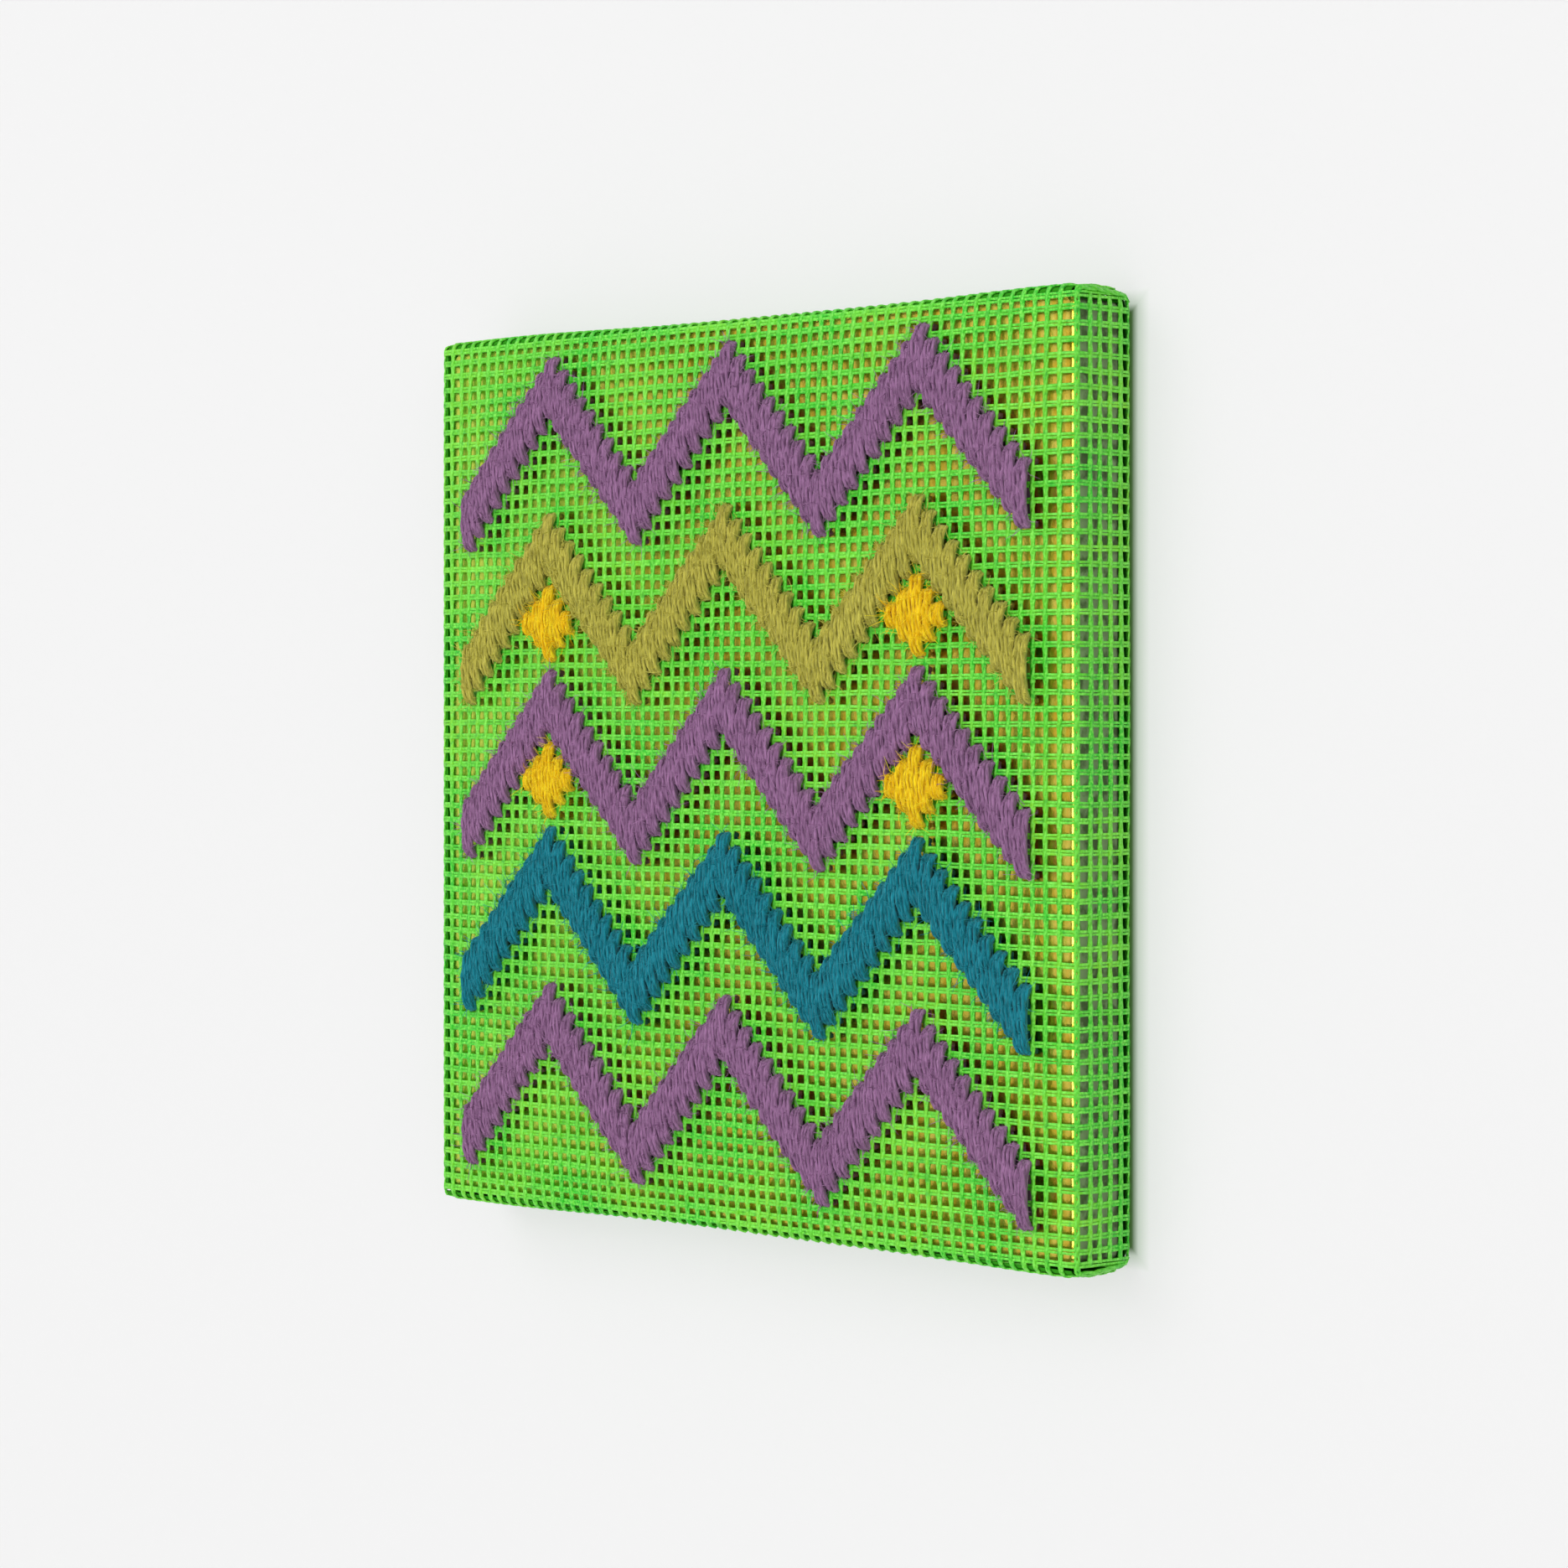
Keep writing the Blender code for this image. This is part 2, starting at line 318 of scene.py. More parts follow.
def waist(across, along):
    """How far the top and bottom walls are pulled in between the corners."""
    over = np.abs(along)
    on_wall = np.clip((over - FLAT) / ARC, 0, 1) * np.clip((HEM_START - over) / ARC, 0, 1)
    held = np.clip(1 - (across / HALF) ** 4, 0, 1)
    pulled = []
    for deepest, place, reach in (WAIST_TOP, WAIST_BOTTOM):
        pulled.append(deepest * np.exp(-((across - place) / reach) ** 2))
    return np.where(along > 0, pulled[0], pulled[1]) * on_wall * held


def wall_lift(across, along):
    """Lift of the top and bottom walls: up at the corners' folded layers, down at the waist."""
    depth = fold(np.abs(along))[1]
    reach = FLAP_REACH * depth_share(depth)
    inside = (reach - (HALF - np.abs(across))) / FLAP_EDGE
    settling = np.interp(np.abs(along), (WALL_START + 1 * MM, HEM_START), (1.0, 0.0))
    return FLAP_LIFT * np.clip(inside, 0, 1) * settling - waist(across, along)


def smooth_noise(places, size, wavelength):
    """A slow random sway along a thread."""
    total = np.zeros_like(places)
    for share in (1.0, 0.53, 0.29):
        phase = rng.uniform(0, 2 * math.pi)
        total = total + share * np.sin(2 * math.pi * places / (wavelength * share) + phase)
    return size * total / 1.8


class Bundle:
    """Many tubes gathered into one mesh."""

    def __init__(self):
        self.points = []
        self.faces = []
        self.tones = []
        self.count = 0

    def add(self, paths, ups, wide, deep, sides, tone):
        """Adds tubes along paths of (tubes, steps, 3). wide is across ups, deep along it."""
        tangent = np.gradient(paths, axis=1)
        tangent /= np.linalg.norm(tangent, axis=2, keepdims=True) + 1e-12
        side = np.cross(tangent, ups)
        side /= np.linalg.norm(side, axis=2, keepdims=True) + 1e-12
        out = np.cross(side, tangent)
        tubes, steps = paths.shape[:2]
        turns = 2 * math.pi * (np.arange(sides) + 0.5) / sides
        wide = np.broadcast_to(np.asarray(wide, float), (tubes, steps))[..., None, None]
        deep = np.broadcast_to(np.asarray(deep, float), (tubes, steps))[..., None, None]
        ring = paths[:, :, None, :]
        ring = ring + wide * np.cos(turns)[None, None, :, None] * side[:, :, None, :]
        ring = ring + deep * np.sin(turns)[None, None, :, None] * out[:, :, None, :]
        index = self.count + np.arange(tubes * steps * sides).reshape(tubes, steps, sides)
        near = index[:, :-1]
        far = index[:, 1:]
        quads = np.stack((near, far, np.roll(far, -1, 2), np.roll(near, -1, 2)), -1)
        self.points.append(ring.reshape(-1, 3))
        self.faces += quads.reshape(-1, 4).tolist()
        self.faces += index[:, 0].tolist()
        self.faces += index[:, -1, ::-1].tolist()
        tone = np.broadcast_to(np.asarray(tone, float).reshape(-1, 1, 1), (tubes, steps, sides))
        self.tones.append(tone.reshape(-1))
        self.count += tubes * steps * sides

    def build(self, name, material):
        mesh = bpy.data.meshes.new(name)
        mesh.from_pydata(np.concatenate(self.points).tolist(), [], self.faces)
        tone = mesh.attributes.new("tone", "FLOAT", "POINT")
        tone.data.foreach_set("value", np.concatenate(self.tones))
        mesh.materials.append(material)
        mesh.shade_smooth()
        made = bpy.data.objects.new(name, mesh)
        bpy.context.collection.objects.link(made)
        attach(made, BODY)
        return made


def thread_places():
    """Distances from the middle of the sheet at which its threads lie."""
    reach = int((CUT_EDGE - 0.3 * PITCH) / PITCH + 0.5)
    return [(number + 0.5) * PITCH for number in range(-reach, reach)]


def hem_limit(place):
    """How far a thread runs over the fold before the mitred corner of the hem cuts it."""
    room = max(0.0, HALF - abs(place))
    return min(CUT_EDGE, HEM_START + max(0.0, room - BEND)) + rng.uniform(*FRAYED_MM) * MM


def drawn(places, sideways):
    """Where places along the sheet come to once it is stretched over its bends."""
    ways = (DRAWN_SIDES, DRAWN_SIDES) if sideways else (DRAWN_TOP, DRAWN_BOTTOM)
    shifts = []
    for amount, at, reach in ways:
        shifts.append(amount * np.exp(-((np.abs(places) - at) / reach) ** 2))
    return places + np.sign(places) * np.where(places > 0, shifts[0], shifts[1])


def thread_lift(along):
    """Height of the threads over the sheet's middle surface, which is less on the hem."""
    return np.interp(np.abs(along), (WALL_END, HEM_START), (THREAD_LIFT, HEM_LIFT))


def painted(place):
    """How much the paint has thickened a thread at a place across the panel."""
    return np.interp(place, PAINT_THINS, (PAINT_THICKENS, 1.0))


def add_warp_pair(bundle, places, along_of, tone, thick):
    """Two strands that lie side by side between wefts and pass before and behind each one."""
    phase = math.pi * (places / PITCH - 0.5)
    lean = rng.normal(0, WARP_LEAN)
    for side in (1, -1):
        swell = np.clip(1 + WARP_UNEVEN * rng.standard_normal(len(places)), *WARP_SWELLS)
        sway = side * WARP_SWAY * np.sin(phase + lean)
        points, normals = along_of(sway, side * WARP_LIFT * np.cos(phase + lean))
        wide = WARP_WIDE * thick * swell * (1 + WARP_SPREADS * np.abs(np.cos(phase)))
        bundle.add(points[None], normals[None], wide[None], WARP_DEEP, THREAD_SIDES, tone)


def add_weft_pair(bundle, places, along_of, tone, thick):
    """Two flat strands side by side."""
    for side in (1, -1):
        swell = np.clip(1 + WEFT_UNEVEN * rng.standard_normal(len(places)), *WEFT_SWELLS)
        ripple = smooth_noise(places, WEFT_RIPPLE, WEFT_RIPPLE_LONG)
        points, normals = along_of(side * WEFT_APART + ripple, 0.0)
        wide = (WEFT_WIDE * thick * swell)[None]
        bundle.add(points[None], normals[None], wide, WEFT_DEEP, THREAD_SIDES, tone)


def samples(end, steps, back_steps):
    """Places along a thread from -end to end, at so many steps a pitch, and fewer on the back."""
    places = []
    for number in range(1, math.floor(end / PITCH * steps)):
        place = number * PITCH / steps
        if place < HEM_START or number % (steps // back_steps) == 0:
            places.append(place)
    return np.array([-end] + [-place for place in reversed(places)] + [0.0] + places + [end])


def with_bends(places):
    """Adds places round the four bends to a coarse list of places."""
    extra = []
    for start in (FLAT, WALL_END):
        for share in (0.0, 0.33, 0.67, 1.0):
            extra.append(start + ARC * share)
    extra = np.array(extra)
    extra = np.concatenate((-extra, extra))
    extra = extra[(extra > places[0]) & (extra < places[-1])]
    merged = np.sort(np.concatenate((places, extra)))
    keep = np.concatenate(([True], np.diff(merged) > CLOSEST_STEPS))
    keep[-1] = True
    return merged[keep]


def weave(warp_bundles, weft_bundle):
    """Every thread of the canvas. Warps run up and down, wefts from side to side."""
    for upright in (True, False):
        for place in thread_places():
            tone = rng.uniform(-1, 1)
            distance = abs(place)
            if distance < HALF:
                end = hem_limit(place)
            elif distance < HEM_START:
                depth = float(fold(np.array(distance))[1])
                radius = corner_radius(float(depth_share(np.array(depth))))
                shoulder = MID_HALF - radius
                end = shoulder + radius * (WARP_ROUNDS if upright else WEFT_ROUNDS)
            else:
                end = float(fold(np.array(distance))[0])
            if upright:
                places = samples(end, WARP_STEPS, WARP_BACK_STEPS)
            else:
                places = with_bends(samples(end, 1, 1))
            wander = smooth_noise(places, WANDER, WANDER_LONG)
            wander = wander * np.clip((FLAT - distance) / WANDER_FADES, 0, 1)
            at = float(drawn(np.array(place), upright))
            places_on = drawn(places, not upright)

            def over_edge(sideways, lift, along=places_on, at=at, wander=wander):
                raised = wall_lift(at, along) if upright else 0.0
                height = lift + raised + thread_lift(along)
                return sheet_points(along, at + sideways + wander, height, not upright)

            def beside_edge(sideways, lift, across=places_on, at=at):
                raised = 0.0 if upright else wall_lift(across, np.full(len(across), at))
                return sheet_points(at + sideways, across, lift + raised + thread_lift(at), upright)

            along_of = over_edge if distance < HALF else beside_edge
            if upright:
                bundle = warp_bundles[min(2, int((place + CUT_EDGE) / (2 * CUT_EDGE) * 3))]
                add_warp_pair(bundle, places, along_of, tone, painted(place))
            else:
                add_weft_pair(weft_bundle, places, along_of, tone, painted(places))


def node_tools(name):
    material = bpy.data.materials.new(name)
    material.use_nodes = True
    nodes = material.node_tree.nodes
    links = material.node_tree.links
    return material, nodes, links, nodes["Principled BSDF"]


def noise_at(nodes, links, scale, stretch=(1, 1, 1), detail=3.0, roughness=0.55):
    """A noise texture in the object's own metres. Returns its value output."""
    place = nodes.new("ShaderNodeTexCoord")
    mapping = nodes.new("ShaderNodeMapping")
    mapping.inputs["Scale"].default_value = stretch
    noise = nodes.new("ShaderNodeTexNoise")
    noise.inputs["Scale"].default_value = scale
    noise.inputs["Detail"].default_value = detail
    noise.inputs["Roughness"].default_value = roughness
    links.new(place.outputs["Object"], mapping.inputs["Vector"])
    links.new(mapping.outputs["Vector"], noise.inputs["Vector"])
    return noise.outputs["Fac"]


def ranged(nodes, links, value, low, high, to_low, to_high):
    """Maps a value from one range to another, held at its ends."""
    node = nodes.new("ShaderNodeMapRange")
    node.inputs["From Min"].default_value = low
    node.inputs["From Max"].default_value = high
    node.inputs["To Min"].default_value = to_low
    node.inputs["To Max"].default_value = to_high
    links.new(value, node.inputs["Value"])
    return node.outputs["Result"]


def reckoned(nodes, links, operation, *values):
    """The result of a sum, product or the like of one or two outputs."""
    node = nodes.new("ShaderNodeMath")
    node.operation = operation
    for number, value in enumerate(values):
        links.new(value, node.inputs[number])
    return node.outputs["Value"]


def mixed(nodes, links, amount, one, other):
    """Mixes two colours, each a tuple or an output, by an output."""
    node = nodes.new("ShaderNodeMix")
    node.data_type = "RGBA"
    links.new(amount, node.inputs["Factor"])
    for value, socket in ((one, node.inputs[6]), (other, node.inputs[7])):
        if isinstance(value, tuple):
            socket.default_value = (*value, 1.0)
        else:
            links.new(value, socket)
    return node.outputs[2]


def bumped(nodes, links, shader, height, distance, strength):
    node = nodes.new("ShaderNodeBump")
    node.inputs["Distance"].default_value = distance
    node.inputs["Strength"].default_value = strength
    links.new(height, node.inputs["Height"])
    links.new(node.outputs["Normal"], shader.inputs["Normal"])


def tone_of(nodes):
    node = nodes.new("ShaderNodeAttribute")
    node.attribute_name = "tone"
    return node.outputs["Fac"]


def canvas_material():
    """Cotton thread under uneven green paint."""
    material, nodes, links, shader = node_tools("painted_canvas_look")
    patches = ranged(nodes, links, noise_at(nodes, links, 60, detail=4.0), 0.38, 0.62, 0, 1)
    colour = mixed(nodes, links, patches, (0.025, 0.57, 0.012), (0.22, 0.69, 0.016))
    fibres = ranged(nodes, links, noise_at(nodes, links, 1900, detail=4.0), 0.4, 0.64, 0, 1)
    colour = mixed(nodes, links, fibres, colour, (0.24, 0.87, 0.09))
    tones = ranged(nodes, links, tone_of(nodes), -1, 1, 0, 0.3)
    colour = mixed(nodes, links, tones, colour, (0.01, 0.47, 0.01))
    worn = ranged(nodes, links, noise_at(nodes, links, 900, detail=4.0), 0.54, 0.68, 0, 0.55)
    colour = mixed(nodes, links, worn, colour, (0.0, 0.33, 0.01))
    links.new(colour, shader.inputs["Base Color"])
    shader.inputs["Roughness"].default_value = 0.42
    shader.inputs["Specular IOR Level"].default_value = 0.38
    bumped(nodes, links, shader, noise_at(nodes, links, 3000), 0.0001, 0.7)
    return material


def film_material():
    """Paint between the threads. Its tone darkens it as painted shade where it lies deep."""
    material, nodes, links, shader = node_tools("paint_film_and_shade_look")
    tones = ranged(nodes, links, tone_of(nodes), -1, 1, 0, 1)
    deep = mixed(nodes, links, tones, (0.008, 0.07, 0.005), (0.08, 0.62, 0.025))
    patches = ranged(nodes, links, noise_at(nodes, links, 400), 0.35, 0.65, 0, 0.4)
    colour = mixed(nodes, links, patches, deep, (0.03, 0.30, 0.012))
    links.new(colour, shader.inputs["Base Color"])
    shader.inputs["Roughness"].default_value = 0.9
    shader.inputs["Specular IOR Level"].default_value = 0.0
    return material


def wool_material(name, colour):
    """Soft wool with fine fibres along the stitch. Strands differ a little in tone."""
    material, nodes, links, shader = node_tools(name + "_wool_look")
    dark = tuple(channel * 0.55 for channel in colour)
    pale = tuple(min(1.0, channel * 1.4 + 0.015) for channel in colour)
    fibres = noise_at(nodes, links, 2300, (1, 1, 0.2), 5.0, 0.65)
    shade = mixed(nodes, links, ranged(nodes, links, fibres, 0.36, 0.64, 0, 1), dark, pale)
    tones = ranged(nodes, links, tone_of(nodes), -1, 1, 0.0, 0.4)
    shade = mixed(nodes, links, tones, shade, colour)
    links.new(shade, shader.inputs["Base Color"])
    shader.inputs["Roughness"].default_value = 0.95
    shader.inputs["Specular IOR Level"].default_value = 0.15
    shader.inputs["Sheen Weight"].default_value = 0.12
    shader.inputs["Sheen Roughness"].default_value = 0.5
    bumped(nodes, links, shader, fibres, 0.0003, 1.0)
    return material


def fuzz_material(name, colour):
    """Loose fibres, painted paler than the strands as a painted highlight for the light they catch.
    """
    material, nodes, links, shader = node_tools(name + "_fuzz_look")
    pale = tuple(min(1.0, channel * 1.5 + 0.04) for channel in colour)
    tones = ranged(nodes, links, tone_of(nodes), -1, 1, 0, 1)
    links.new(mixed(nodes, links, tones, colour, pale), shader.inputs["Base Color"])
    shader.inputs["Roughness"].default_value = 1.0
    shader.inputs["Specular IOR Level"].default_value = 0.1
    return material


def gold_material():
    """Glossy gold face, stained dull sides and a flecked back. Along three edges the face is
    painted shade, and towards the left its gold is greener as a painted reflection of the canvas.
    """
    material, nodes, links, shader = node_tools("gold_look")
    geometry = nodes.new("ShaderNodeNewGeometry")
    split = nodes.new("ShaderNodeSeparateXYZ")
    links.new(geometry.outputs["Normal"], split.inputs["Vector"])
    facing = ranged(nodes, links, split.outputs["Y"], -0.45, -0.1, 1, 0)
    place = nodes.new("ShaderNodeTexCoord")
    where = nodes.new("ShaderNodeSeparateXYZ")
    links.new(place.outputs["Object"], where.inputs["Vector"])
    height = reckoned(nodes, links, "ABSOLUTE", where.outputs["Z"])
    # The gold is masked off along the top, bottom and left edges, where painted shade shows instead
    inside = ranged(nodes, links, height, GOLD_ENDS_AT_PAINTED_SHADE, GOLD_ENDS_AT_PAINTED_SHADE + PAINTED_SHADE_FADE, 1, 0)
    right = ranged(nodes, links, where.outputs["X"], -GOLD_ENDS_AT_PAINTED_SHADE - PAINTED_SHADE_FADE, -GOLD_ENDS_AT_PAINTED_SHADE, 0, 1)
    gilded_clear_of_shade = facing
    for share in (inside, right):
        gilded_clear_of_shade = reckoned(nodes, links, "MULTIPLY", gilded_clear_of_shade, share)
    streaks = ranged(nodes, links, noise_at(nodes, links, 700, (1, 1, 0.4)), 0.35, 0.65, 0, 1)
    gold = mixed(nodes, links, streaks, (0.84, 0.56, 0.045), (1.0, 0.80, 0.14))
    # Greener gold towards the left is a painted reflection of the green canvas
    painted_reflection_leftward = ranged(nodes, links, where.outputs["X"], -0.05, -0.012, 0.8, 0)
    gold = mixed(nodes, links, painted_reflection_leftward, gold, (0.80, 1.0, 0.14))
    stained = ranged(nodes, links, noise_at(nodes, links, 350), 0.47, 0.6, 0, 1)
    sides = mixed(nodes, links, stained, (0.37, 0.49, 0.25), (0.13, 0.19, 0.07))
    flecks = ranged(nodes, links, noise_at(nodes, links, 1100, detail=4.0), 0.35, 0.65, 0, 1)
    back = mixed(nodes, links, flecks, (0.31, 0.38, 0.21), (0.37, 0.44, 0.26))
    backward = ranged(nodes, links, split.outputs["Y"], 0.5, 0.9, 0, 1)
    sides = mixed(nodes, links, backward, sides, back)
    # Off the gold the face is near-black green, a painted shade
    sides_and_painted_shade = mixed(nodes, links, facing, sides, (0.008, 0.09, 0.004))
    links.new(mixed(nodes, links, gilded_clear_of_shade, sides_and_painted_shade, gold), shader.inputs["Base Color"])
    links.new(ranged(nodes, links, gilded_clear_of_shade, 0, 1, 0.2, 1), shader.inputs["Metallic"])
    links.new(ranged(nodes, links, gilded_clear_of_shade, 0, 1, 0.6, 0.24), shader.inputs["Roughness"])
    bumped(nodes, links, shader, noise_at(nodes, links, 1300), 0.0001, 0.5)
    return material


def add_film(bundle, along, across, lift, folds_sideways, tone):
    """Adds a thin closed patch between two places along the sheet and two across it."""
    rows = np.linspace(*along, FILM_ROWS)
    steps = max(2, round(abs(across[1] - across[0]) / FILM_STEP))
    columns = np.linspace(*across, steps)
    raised = lift
    if not folds_sideways:
        raised = lift + wall_lift(columns[None, :], rows[:, None])
    for depth in (0.0, -FILM_DEEP):
        height = raised + depth
        points = sheet_points(rows[:, None], columns[None, :], height, folds_sideways)[0]
        bundle.points.append(points.reshape(-1, 3))
    under = FILM_ROWS * steps
    index = np.arange(under).reshape(FILM_ROWS, steps) + bundle.count
    corners = (index[:-1, :-1], index[:-1, 1:], index[1:, 1:], index[1:, :-1])
    quads = np.stack(corners, -1).reshape(-1, 4)
    bundle.faces += quads.tolist() + (quads[:, ::-1] + under).tolist()
    rim = index[0].tolist() + index[1:, -1].tolist() + index[-1, -2::-1].tolist()
    rim += index[-2:0:-1, 0].tolist()
    for one, after in zip(rim, rim[1:] + rim[:1]):
        bundle.faces.append((after, one, one + under, after + under))
    bundle.tones.append(np.full(2 * under, float(tone)))
    bundle.count += 2 * under


def on_side(side, span):
    """A span of places, on the right or the top where side is 1, and opposite where it is -1."""
    return [side * place for place in span]


def films():
    """Paint and glue in the holes round the bends, the folded layers of the corners, and a
    near-black sheet in the back bends that is a painted shadow. The darker tones given to the laps,
    tucks and the top and bottom patches are painted shade.
    """
    bundle = Bundle()
    add_film(bundle, on_side(-1, LEFT_FILM), WHOLE_EDGE, FILM_LIFT, True, tone=1)
    for side in (1, -1):
        back = on_side(side, BACK_SHADOW_SHEET)
        # A near-black sheet in each back bend, as painted shadow
        add_film(bundle, back, BACK_SHADOW_SHEET_ACROSS, 0.0, True, tone=-1)
        level = on_side(side, TOP_AND_BOTTOM_FILM)
        # The top and bottom patches, the laps and the tucks are darkened by their tones as painted
        # shade
        add_film(bundle, level, WHOLE_EDGE, FILM_LIFT, False, tone=-0.2)
        for corner in (1, -1):
            lap = on_side(corner, LAP_ACROSS)
            add_film(bundle, on_side(side, LAP), lap, LAP_LIFT, False, tone=-0.5)
            tuck = on_side(corner, TUCK_ACROSS)
            add_film(bundle, on_side(side, TUCK), tuck, TUCK_LIFT, True, tone=-0.6)
    return bundle.build("canvas_paint_and_shade", film_material())


def canvas(material):
    warps = [Bundle(), Bundle(), Bundle()]
    weft = Bundle()
    weave(warps, weft)
    pieces = []
    for name, bundle in zip(("left", "middle", "right"), warps):
        pieces.append(bundle.build("canvas_warp_" + name, material))
    cloth = weft.build("canvas_weft", material)
    pieces.append(films())
    for piece in pieces + [cloth]:
        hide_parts("canvas")


def chevron(column):
    """Rows by which a chevron has climbed at a column: a peak at 0 and at each whole wave."""
    wave = 2 * CHEVRON_RISE
    from_peak = (column + CHEVRON_RISE) % wave - CHEVRON_RISE
    return CHEVRON_RISE - abs(from_peak)


def chevron_runs():
    """(node, colour, stitches) for each chevron."""
    for number, colour in enumerate(CHEVRON_COLOURS):
        base = CHEVRON_LOWEST + number * CHEVRON_SPACING
        stitches = []
        for column in range(-CHEVRON_REACH, CHEVRON_REACH + 1):
            low = base + chevron(column)
            stitches.append((column, low, low + STITCH_ROWS))
        yield f"chevron_{number + 1}_{colour}", colour, stitches


def diamond_runs():
    """(node, colour, stitches) for each small diamond."""
    bare_rows = CHEVRON_SPACING - STITCH_ROWS
    longest = max(DIAMOND_LENGTHS)
    reach = len(DIAMOND_LENGTHS) // 2
    for gap_number in DIAMOND_ROWS_BETWEEN:
        base = CHEVRON_LOWEST + gap_number * CHEVRON_SPACING + STITCH_ROWS + CHEVRON_RISE
        middle = base + bare_rows / 2
        for side, centre in zip(("left", "right"), DIAMOND_COLUMNS):
            stitches = []
            for offset, length in zip(range(-reach, reach + 1), DIAMOND_LENGTHS):
                low = round(middle - longest / 2) + (longest - length) // 2
                stitches.append((centre + offset, low, low + length))
            yield f"diamond_{gap_number}_{side}", "yellow", stitches


def strand_path(column, low, high, place, steps):
    """The middle line of one wool strand of a stitch. place counts strands from its middle."""
    turn = np.linspace(0, math.pi, steps)
    half = (high - low) / 2 * PITCH
    middle = (high + low) / 2 * PITCH
    swell = np.sqrt(np.maximum(np.sin(turn), 0))
    height = rng.uniform(*STRAND_HEIGHTS_MM) * MM
    spread = 1 - STRAND_TAPER * (1 - swell)
    drift = rng.uniform(*STRAND_DRIFTS_MM) * MM * np.cos(turn)
    shift = rng.uniform(*STRAND_SHIFTS_MM) * MM
    x = column * PITCH + place * STRAND_APART * spread + shift + drift
    z = middle - np.cos(turn) * half - STITCH_BULGE * np.cos(turn) * np.sin(turn)
    top = CLOTH / 2 + GAP + CREST - PLY_R - PLY_OFFSET + height
    lift = -STITCH_SINKS + (top + STITCH_SINKS) * swell
    y = MID_FRONT - crown(x, z) - lift
    return np.stack((x, y, z), -1)


def add_stitch(bundle, column, low, high):
    """Three strands of two plies each, over a flat core that fills the gaps between them."""
    core = strand_path(column, low, high, 0, CORE_STEPS)
    core[:, 1] += CORE_BEHIND
    side = np.tile((1.0, 0.0, 0.0), (CORE_STEPS, 1))
    up = np.cross(side, np.gradient(core, axis=0))
    up /= np.linalg.norm(up, axis=1, keepdims=True)
    bundle.add(core[None], up[None], CORE_WIDE, CORE_DEEP, CORE_SIDES, tone=-1)
    for place in range(STRANDS):
        path = strand_path(column, low, high, place - (STRANDS - 1) / 2, STITCH_STEPS)
        tangent = np.gradient(path, axis=0)
        length = np.concatenate(([0], np.cumsum(np.linalg.norm(np.diff(path, axis=0), axis=1))))
        tangent /= np.linalg.norm(tangent, axis=1, keepdims=True)
        side = np.tile((1.0, 0.0, 0.0), (STITCH_STEPS, 1))
        out = np.cross(side, tangent)
        start = rng.uniform(0, 2 * math.pi)
        tone = rng.uniform(-1, 1)
        for ply in range(2):
            twist = start + math.pi * ply + 2 * math.pi * length / PLY_TURN
            offset = np.cos(twist)[:, None] * side + np.sin(twist)[:, None] * out
            line = path + PLY_OFFSET * offset
            radius = PLY_R * (1 + PLY_UNEVEN * rng.standard_normal(STITCH_STEPS))
            bundle.add(line[None], side[None], radius[None], radius[None], PLY_SIDES, tone)


def add_back(bundle, stitch, after):
    """The yarn behind the canvas from the top of one stitch to the foot of the next."""
    start = np.array((stitch[0] * PITCH, stitch[2] * PITCH))
    end = np.array((after[0] * PITCH, after[1] * PITCH))
    share = np.linspace(0, 1, YARN_STEPS)[:, None]
    flat = start * (1 - share) + end * share
    raised = crown(flat[:, 0], flat[:, 1])
    drop = np.minimum(YARN_DROP, CLOTH / 2 + GAP + raised - YARN_CLEAR)
    path = np.stack((flat[:, 0], MID_FRONT - raised + drop, flat[:, 1]), -1)
    up = np.tile((0.0, -1.0, 0.0), (len(path), 1))
    bundle.add(path[None], up[None], YARN_WIDE, YARN_DEEP, PLY_SIDES, rng.uniform(-1, 1))


def add_fuzz(bundle, stitches):
    """Loose fibres that stand off the wool."""
    roots = []
    for column, low, high in stitches:
        for hair in range(HAIRS_PER_STITCH):
            place = rng.uniform(-HAIR_SPREAD, HAIR_SPREAD)
            path = strand_path(column, low, high, place, HAIR_PLACES)
            roots.append(path[rng.integers(1, HAIR_PLACES - 1)])
    roots = np.array(roots)
    count = len(roots)
    lean = rng.standard_normal((count, 3)) * HAIR_LEANS
    lean[:, 1] -= HAIR_FORWARD
    lean /= np.linalg.norm(lean, axis=1, keepdims=True)
    curl = rng.standard_normal((count, 3))
    length = rng.uniform(*HAIR_LENGTHS_MM, (count, 1)) * MM
    steps = []
    for share in (0.0, 0.5, 1.0):
        straight = roots + (HAIR_START + length * share) * lean
        steps.append(straight + curl * length * HAIR_CURL * share ** 2)
    paths = np.stack(steps, 1)
    ups = np.tile(HAIR_ACROSS, (count, len(steps), 1))
    thickness = HAIR_R * np.array(HAIR_THINS)
    bundle.add(paths, ups, thickness, thickness, 3, rng.uniform(-1, 1, count))


def needlework():
    looks = {name: wool_material(name, colour) for name, colour in WOOL.items()}
    fuzzy = {name: fuzz_material(name, colour) for name, colour in WOOL.items()}
    for node, colour, stitches in list(chevron_runs()) + list(diamond_runs()):
        wool = Bundle()
        for stitch in stitches:
            add_stitch(wool, *stitch)
        backs = Bundle()
        for stitch, after in zip(stitches, stitches[1:]):
            add_back(backs, stitch, after)
        fuzz = Bundle()
        add_fuzz(fuzz, stitches)
        face = wool.build("stitches_" + node, looks[colour])
        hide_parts(node)
        others = [backs.build("backs_" + node, looks[colour])]
        others.append(fuzz.build("fuzz_" + node, fuzzy[colour]))


def gold_board():
    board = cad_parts["gold_board"]
    board.data.materials.clear()
    board.data.materials.append(gold_material())


def plane(name, size, place, turn, material):
    bpy.ops.mesh.primitive_plane_add(size=size, location=place, rotation=turn)
    made = bpy.context.object
    made.name = name
    made.data.materials.append(material)
    return made


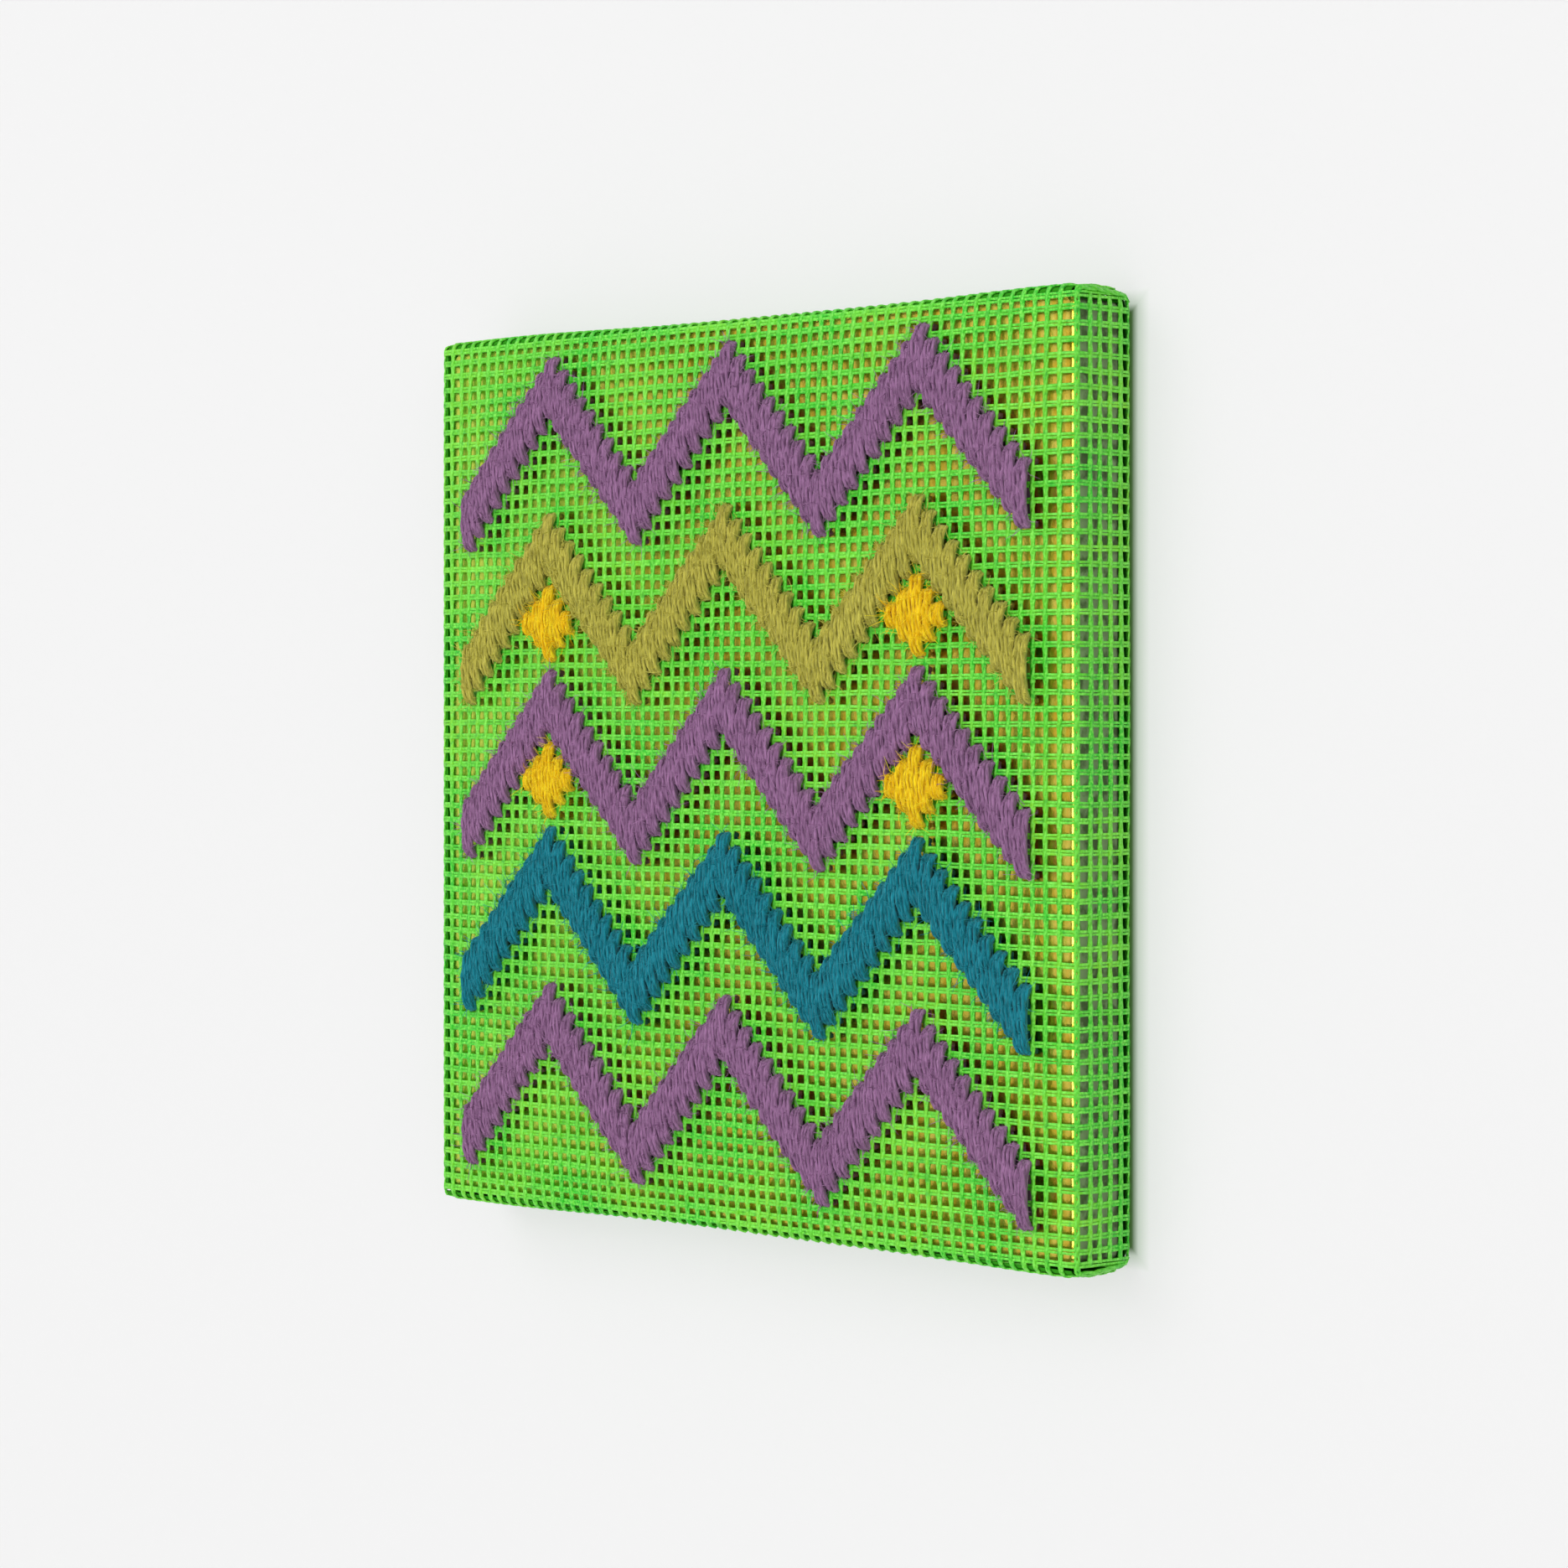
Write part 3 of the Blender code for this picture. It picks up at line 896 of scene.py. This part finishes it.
def stage():
    """A floor, and a wall that shows only from its front.

    The wall is painted dark behind the panel, a painted shadow, and beyond the panel's edges it
    glows evenly, which is painted light as the wall is no lamp. The glow fades to nothing behind
    the panel, which gives the painted soft shade round it, and near the panel it is tinted green as
    painted light bounced off the canvas.
    """
    material, nodes, links, shader = node_tools("white_wall")
    shader.inputs["Roughness"].default_value = 0.95
    shader.inputs["Specular IOR Level"].default_value = 0.0
    place = nodes.new("ShaderNodeTexCoord")
    stretched = nodes.new("ShaderNodeMapping")
    stretched.inputs["Scale"].default_value = (1.0, 1.03, 1.0)
    links.new(place.outputs["Object"], stretched.inputs["Vector"])
    split = nodes.new("ShaderNodeSeparateXYZ")
    links.new(stretched.outputs["Vector"], split.inputs["Vector"])
    sizes = [reckoned(nodes, links, "ABSOLUTE", split.outputs[axis]) for axis in ("X", "Y")]
    reach = reckoned(nodes, links, "MAXIMUM", *sizes)
    # Dark paint behind the panel is a painted shadow
    clear_of_shade = ranged(nodes, links, reach, *SHADE_ENDS, 0, 1)
    paint = mixed(nodes, links, clear_of_shade, (0.17, 0.26, 0.11), (0.30, 0.30, 0.30))
    links.new(paint, shader.inputs["Base Color"])
    # The glow is painted light, and it fades near the panel as painted shade
    near = ranged(nodes, links, reach, *NEAR_PAINTED_LIGHT, 0, NEAR_PAINTED_LIGHT_RISE)
    far = ranged(nodes, links, reach, *FAR_PAINTED_LIGHT, 0, FAR_PAINTED_LIGHT_RISE)
    links.new(reckoned(nodes, links, "ADD", near, far), shader.inputs["Emission Strength"])
    # The green tint near the panel is painted light bounced off the canvas
    away = ranged(nodes, links, reach, *BOUNCE_TINT_FADES, 0, 1)
    tint = mixed(nodes, links, away, (0.82, 1.0, 0.78), (1.0, 1.0, 1.0))
    links.new(tint, shader.inputs["Emission Color"])
    geometry = nodes.new("ShaderNodeNewGeometry")
    clear = nodes.new("ShaderNodeBsdfTransparent")
    either = nodes.new("ShaderNodeMixShader")
    links.new(geometry.outputs["Backfacing"], either.inputs["Fac"])
    links.new(shader.outputs["BSDF"], either.inputs[1])
    links.new(clear.outputs["BSDF"], either.inputs[2])
    links.new(either.outputs["Shader"], nodes["Material Output"].inputs["Surface"])
    wall = plane("wall", 6.0, (0, BACK + 1.2 * MM, 0), (math.pi / 2, 0, 0), material)
    wall.visible_shadow = False
    wall.visible_diffuse = False
    pale, nodes, links, shader = node_tools("pale_floor")
    shader.inputs["Base Color"].default_value = (0.85, 0.85, 0.85, 1)
    shader.inputs["Roughness"].default_value = 0.9
    plane("floor", 6.0, (0, 0, -0.9), (0, 0, 0), pale)


def area_light(name, place, wide, high, power):
    """A lamp that points at the middle of the board's back."""
    data = bpy.data.lights.new(name, "AREA")
    data.shape = "RECTANGLE"
    data.size = wide
    data.size_y = high
    data.energy = power
    lamp = bpy.data.objects.new(name, data)
    lamp.location = place
    direction = -Vector(place)
    lamp.rotation_euler = direction.to_track_quat("-Z", "Y").to_euler()
    bpy.context.collection.objects.link(lamp)


def lights():
    world = bpy.data.worlds.new("studio")
    world.use_nodes = True
    world.node_tree.nodes["Background"].inputs["Color"].default_value = (1.0, 1.0, 1.0, 1)
    world.node_tree.nodes["Background"].inputs["Strength"].default_value = 0.68
    bpy.context.scene.world = world
    area_light("key", (-1.1, -2.0, 1.5), 1.8, 1.8, 20)
    area_light("front", (0.05, -2.4, 0.2), 0.5, 1.6, 12)
    area_light("side", (2.2, -1.2, 0.5), 1.2, 1.6, 10)


def camera():
    data = bpy.data.cameras.new("camera")
    data.sensor_width = SENSOR_MM
    data.lens = FOCAL_PX / IMAGE_SIDE * SENSOR_MM
    data.shift_y = (HORIZON_PX - IMAGE_SIDE / 2) / IMAGE_SIDE
    made = bpy.data.objects.new("camera", data)
    face = 2 * HALF
    offset = [share * face for share in CAMERA_FROM_FACE]
    made.location = (offset[0], FRONT + offset[1], offset[2])
    made.rotation_euler = (math.pi / 2, 0, CAMERA_YAW)
    bpy.context.collection.objects.link(made)
    bpy.context.scene.camera = made


camera()
gold_board()
canvas(canvas_material())
needlework()
stage()
lights()
bpy.context.scene.view_settings.view_transform = "Standard"
